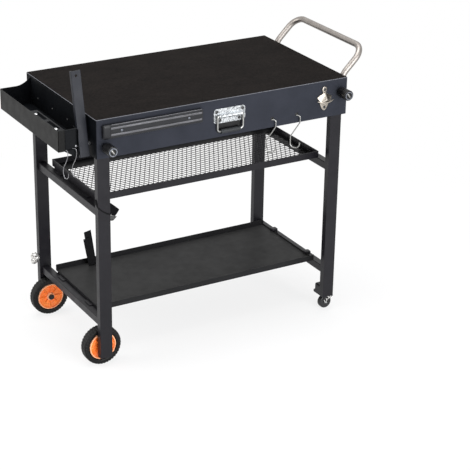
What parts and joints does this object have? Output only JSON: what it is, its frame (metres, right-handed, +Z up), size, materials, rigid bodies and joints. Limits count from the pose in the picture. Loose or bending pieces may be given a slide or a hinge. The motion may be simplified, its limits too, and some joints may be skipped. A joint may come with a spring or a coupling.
{
  "type": "folding grill cart",
  "caption": "Folding grill cart: sheet-metal table box on folding leg frames, with mesh shelf, tray shelf, push handle, side tray, tool bar, hooks, wheels and casters.",
  "frame": {"origin": "on the floor, below the middle of the whole cart's bounding box", "axes": "+X to the push handle end, -Y to the front with the tool bar and opener, +Z up"},
  "size_m": [1.07, 0.558, 0.9428],
  "materials": {
    "dark_coat": "satin powder coat",
    "top_coat": "fine textured powder coat",
    "steel": "brushed",
    "zinc": "bright zinc",
    "nickel": "cast nickel",
    "hub_orange": "moulded",
    "tyre": "matte rubber",
    "black_plastic": "moulded",
    "webbing": "woven"
  },
  "bodies": {
    "table": {"table_top": "top_coat", "pivot_spacers": "black_plastic", "back_pivot_bolts": "steel", "magnetic_bar": "dark_coat", "magnetic_bar_rails": "steel", "front_screws": "zinc", "chest_handle_plate": "zinc", "bottle_opener": "nickel", "push_handle": "steel", "handle_saddles": "black_plastic", "handle_bolts": "steel", "side_tray": "dark_coat", "tray_screws": "steel", "towel_arm_bolt": "steel"},
    "towel_arm": {"towel_arm": "dark_coat"},
    "bail": {"chest_handle_bail": "zinc", "chest_handle_grip": "black_plastic"},
    "left_knob": {"left_knob": "black_plastic", "left_knob_ring": "zinc", "left_knob_stud": "steel"},
    "right_knob": {"right_knob": "black_plastic", "right_knob_ring": "zinc", "right_knob_stud": "steel"},
    "left_frame": {"left_front_leg": "dark_coat", "left_back_leg": "dark_coat", "left_upper_bar": "dark_coat", "left_lower_bar": "dark_coat", "wheel_axles": "steel", "leg_strap": "webbing"},
    "right_frame": {"right_front_leg": "dark_coat", "right_back_leg": "dark_coat", "right_upper_bar": "dark_coat", "right_lower_bar": "dark_coat", "caster_brackets": "dark_coat"},
    "front_wheel": {"front_tyre": "tyre", "front_hub": "hub_orange"},
    "back_wheel": {"back_tyre": "tyre", "back_hub": "hub_orange"},
    "wing_screw": {"wing_screw": "zinc"},
    "front_caster": {"front_caster_fork": "zinc", "front_caster_pins": "steel"},
    "front_caster_wheel": {"front_caster_wheel": "black_plastic"},
    "front_brake_pedal": {"front_brake_pedal": "black_plastic"},
    "back_caster": {"back_caster_fork": "zinc", "back_caster_pins": "steel"},
    "back_caster_wheel": {"back_caster_wheel": "black_plastic"},
    "back_brake_pedal": {"back_brake_pedal": "black_plastic"},
    "shelf_hooks": {"left_shelf_hooks": "dark_coat"},
    "lower_shelf": {"lower_shelf": "dark_coat", "lower_shelf_hooks": "dark_coat", "shelf_strap": "webbing"},
    "mesh_shelf": {"mesh_shelf_frame": "dark_coat", "mesh_panel": "dark_coat", "mesh_shelf_hooks": "dark_coat"},
    "front_hook_1": {"front_hook_1": "steel"},
    "front_hook_2": {"front_hook_2": "steel"},
    "tray_hook_1": {"tray_hook_1": "steel"},
    "tray_hook_2": {"tray_hook_2": "steel"}
  },
  "joints": [
    {"name": "left_leg_fold", "type": "hinge", "parent": "table", "child": "left_frame", "pos_m": [-0.404, 0.024, 0.73], "axis": [0, -1, 0], "range_deg": [0, 90]},
    {"name": "right_leg_fold", "type": "hinge", "parent": "table", "child": "right_frame", "pos_m": [0.404, 0.024, 0.773], "axis": [0, 1, 0], "range_deg": [0, 90]},
    {"name": "shelves_draw_right", "type": "slide", "parent": "table", "child": "shelf_hooks", "axis": [0.9859, 0, 0.1676], "range_m": [0, 1.36]},
    {"name": "shelves_draw_left", "type": "slide", "parent": "shelf_hooks", "child": "lower_shelf", "axis": [-0.9859, 0, 0.1676], "range_m": [0, 1.36]},
    {"name": "mesh_shelf_lift", "type": "slide", "parent": "lower_shelf", "child": "mesh_shelf", "axis": [0, 0, 1], "range_m": [0, 0.1]},
    {"name": "left_knob_turn", "type": "hinge", "parent": "table", "child": "left_knob", "pos_m": [-0.404, -0.226, 0.73], "axis": [0, -1, 0], "continuous": true},
    {"name": "right_knob_turn", "type": "hinge", "parent": "table", "child": "right_knob", "pos_m": [0.404, -0.226, 0.773], "axis": [0, -1, 0], "continuous": true},
    {"name": "bail_swing", "type": "hinge", "parent": "table", "child": "bail", "pos_m": [0.008, -0.2335, 0.762], "axis": [-1, 0, 0], "range_deg": [0, 90]},
    {"name": "towel_arm_fold", "type": "hinge", "parent": "table", "child": "towel_arm", "pos_m": [-0.454, -0.181, 0.731], "axis": [-1, 0, 0], "range_deg": [0, 77]},
    {"name": "front_wheel_spin", "type": "hinge", "parent": "left_frame", "child": "front_wheel", "pos_m": [-0.404, -0.171, 0.0625], "axis": [0, 1, 0], "continuous": true},
    {"name": "front_caster_swivel", "type": "hinge", "parent": "right_frame", "child": "front_caster", "pos_m": [0.404, -0.176, 0.056], "axis": [0, 0, 1], "continuous": true},
    {"name": "front_caster_spin", "type": "hinge", "parent": "front_caster", "child": "front_caster_wheel", "pos_m": [0.414, -0.176, 0.022], "axis": [0, 1, 0], "continuous": true},
    {"name": "front_brake_press", "type": "hinge", "parent": "front_caster", "child": "front_brake_pedal", "pos_m": [0.432, -0.176, 0.042], "axis": [0, 1, 0], "range_deg": [0, 12]},
    {"name": "back_wheel_spin", "type": "hinge", "parent": "left_frame", "child": "back_wheel", "pos_m": [-0.404, 0.219, 0.0625], "axis": [0, 1, 0], "continuous": true},
    {"name": "back_caster_swivel", "type": "hinge", "parent": "right_frame", "child": "back_caster", "pos_m": [0.404, 0.224, 0.056], "axis": [0, 0, 1], "continuous": true},
    {"name": "back_caster_spin", "type": "hinge", "parent": "back_caster", "child": "back_caster_wheel", "pos_m": [0.414, 0.224, 0.022], "axis": [0, 1, 0], "continuous": true},
    {"name": "back_brake_press", "type": "hinge", "parent": "back_caster", "child": "back_brake_pedal", "pos_m": [0.432, 0.224, 0.042], "axis": [0, 1, 0], "range_deg": [0, 12]},
    {"name": "wing_screw_turn", "type": "hinge", "parent": "left_frame", "child": "wing_screw", "pos_m": [-0.424, 0.249, 0.19], "axis": [-1, 0, 0], "continuous": true},
    {"name": "front_hook_1_swing", "type": "hinge", "parent": "table", "child": "front_hook_1", "pos_m": [0.16106, -0.22631, 0.708], "axis": [0.7071, 0.7071, 0], "range_deg": [-4, 4]},
    {"name": "front_hook_2_swing", "type": "hinge", "parent": "table", "child": "front_hook_2", "pos_m": [0.24906, -0.22631, 0.708], "axis": [0.7071, 0.7071, 0], "range_deg": [-4, 4]},
    {"name": "tray_hook_1_swing", "type": "hinge", "parent": "table", "child": "tray_hook_1", "pos_m": [-0.51094, -0.19046, 0.734], "axis": [0.7071, 0.7071, 0], "range_deg": [-4, 4]},
    {"name": "tray_hook_2_swing", "type": "hinge", "parent": "table", "child": "tray_hook_2", "pos_m": [-0.48294, -0.19046, 0.734], "axis": [0.7071, 0.7071, 0], "range_deg": [-4, 4]}
  ],
  "couplings": [
    {"joint": "shelves_draw_right", "follows": "left_leg_fold", "m_per_rad": 0.8622},
    {"joint": "shelves_draw_left", "follows": "right_leg_fold", "m_per_rad": 0.8622}
  ]
}
